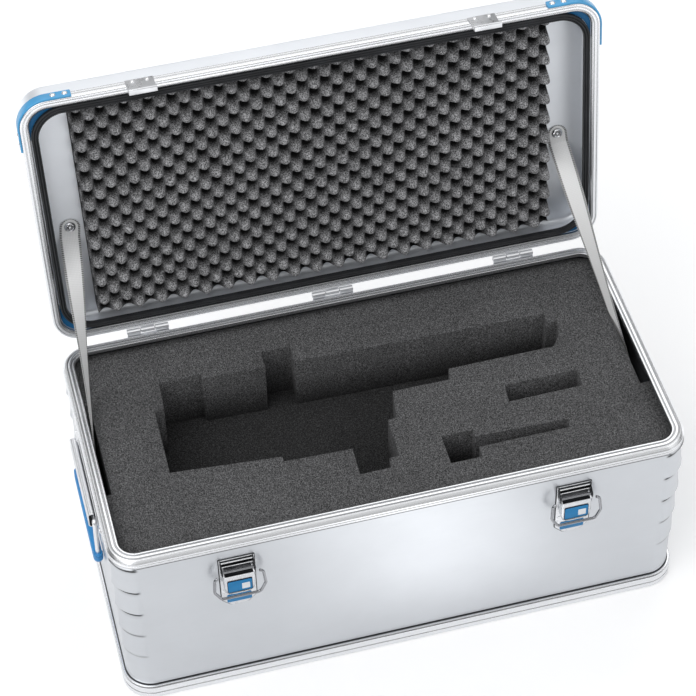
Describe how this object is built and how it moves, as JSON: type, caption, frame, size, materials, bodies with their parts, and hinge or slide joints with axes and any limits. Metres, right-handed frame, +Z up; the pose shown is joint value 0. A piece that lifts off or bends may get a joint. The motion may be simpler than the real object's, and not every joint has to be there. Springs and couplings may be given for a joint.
{
  "type": "aluminium storage case",
  "caption": "Rectangular aluminium storage case with a hinged lid, bail latches, drop handles, lid stay straps and cut foam inside.",
  "frame": {"origin": "centre of the base's underside, on the floor", "axes": "+X along the case's length to its right, +Y towards the hinges at the back, +Z up"},
  "size_m": [0.8268, 0.5284, 0.718],
  "materials": {
    "wall_sheet": "satin",
    "lid_sheet": "satin",
    "frame": "satin",
    "latch_metal": "satin",
    "handle_metal": "satin",
    "latch_wire": "polished",
    "rivet_metal": "satin",
    "blue_plastic": "satin",
    "foam": "matte",
    "crate_foam": "matte",
    "seal": "matte",
    "strap_webbing": "matte"
  },
  "bodies": {
    "base": {"base_shell": "wall_sheet", "base_rim": "frame", "base_foot_frame": "frame", "base_floor": "wall_sheet", "foam_insert": "foam", "foam_base": "foam", "latch_plate_left": "latch_metal", "latch_pin_left": "latch_wire", "latch_strip_left": "blue_plastic", "handle_plate_left": "handle_metal", "handle_bracket_left": "handle_metal", "strap_anchor_left": "rivet_metal", "latch_plate_right": "latch_metal", "latch_pin_right": "latch_wire", "latch_strip_right": "blue_plastic", "handle_plate_right": "handle_metal", "handle_bracket_right": "handle_metal", "strap_anchor_right": "rivet_metal", "hinge_leaf_base_1": "frame", "hinge_pin_1": "latch_wire", "hinge_leaf_base_2": "frame", "hinge_pin_2": "latch_wire", "hinge_leaf_base_3": "frame", "hinge_pin_3": "latch_wire"},
    "lid": {"lid_shell": "lid_sheet", "lid_rim": "frame", "lid_seal": "seal", "lid_foam": "crate_foam", "lid_pad_front_left": "blue_plastic", "lid_pad_front_right": "blue_plastic", "lid_pad_rear_left": "blue_plastic", "lid_pad_rear_right": "blue_plastic", "lid_corner_front_left": "blue_plastic", "lid_corner_front_right": "blue_plastic", "lid_catch_left": "latch_metal", "strap_rivet_left": "rivet_metal", "strap_left": "strap_webbing", "lid_catch_right": "latch_metal", "strap_rivet_right": "rivet_metal", "strap_right": "strap_webbing", "hinge_leaf_lid_1": "frame", "hinge_leaf_lid_2": "frame", "hinge_leaf_lid_3": "frame"},
    "lever_left": {"latch_lever_left": "latch_metal", "latch_badge_left": "blue_plastic"},
    "bail_left": {"latch_bail_left": "latch_wire"},
    "lever_right": {"latch_lever_right": "latch_metal", "latch_badge_right": "blue_plastic"},
    "bail_right": {"latch_bail_right": "latch_wire"},
    "handle_left": {"handle_bow_left": "handle_metal", "handle_grip_left": "blue_plastic"},
    "handle_right": {"handle_bow_right": "handle_metal", "handle_grip_right": "blue_plastic"}
  },
  "joints": [
    {"name": "lid_hinge", "type": "hinge", "parent": "base", "child": "lid", "pos_m": [0, 0.2045, 0.3065], "axis": [1, 0, 0], "range_deg": [0, 98.3], "deforming": ["strap_left", "strap_right"]},
    {"name": "latch_lever_left_swing", "type": "hinge", "parent": "base", "child": "lever_left", "pos_m": [-0.2345, -0.2078, 0.256], "axis": [1, 0, 0], "range_deg": [-110, 0]},
    {"name": "latch_bail_left_swing", "type": "hinge", "parent": "lever_left", "child": "bail_left", "pos_m": [-0.2345, -0.2105, 0.2495], "axis": [-1, 0, 0], "range_deg": [0, 180]},
    {"name": "latch_lever_right_swing", "type": "hinge", "parent": "base", "child": "lever_right", "pos_m": [0.2345, -0.2078, 0.256], "axis": [1, 0, 0], "range_deg": [-110, 0]},
    {"name": "latch_bail_right_swing", "type": "hinge", "parent": "lever_right", "child": "bail_right", "pos_m": [0.2345, -0.2105, 0.2495], "axis": [-1, 0, 0], "range_deg": [0, 180]},
    {"name": "handle_left_swing", "type": "hinge", "parent": "base", "child": "handle_left", "pos_m": [-0.4037, 0, 0.25], "axis": [0, 1, 0], "range_deg": [0, 90]},
    {"name": "handle_right_swing", "type": "hinge", "parent": "base", "child": "handle_right", "pos_m": [0.4037, 0, 0.25], "axis": [0, -1, 0], "range_deg": [0, 90]}
  ]
}
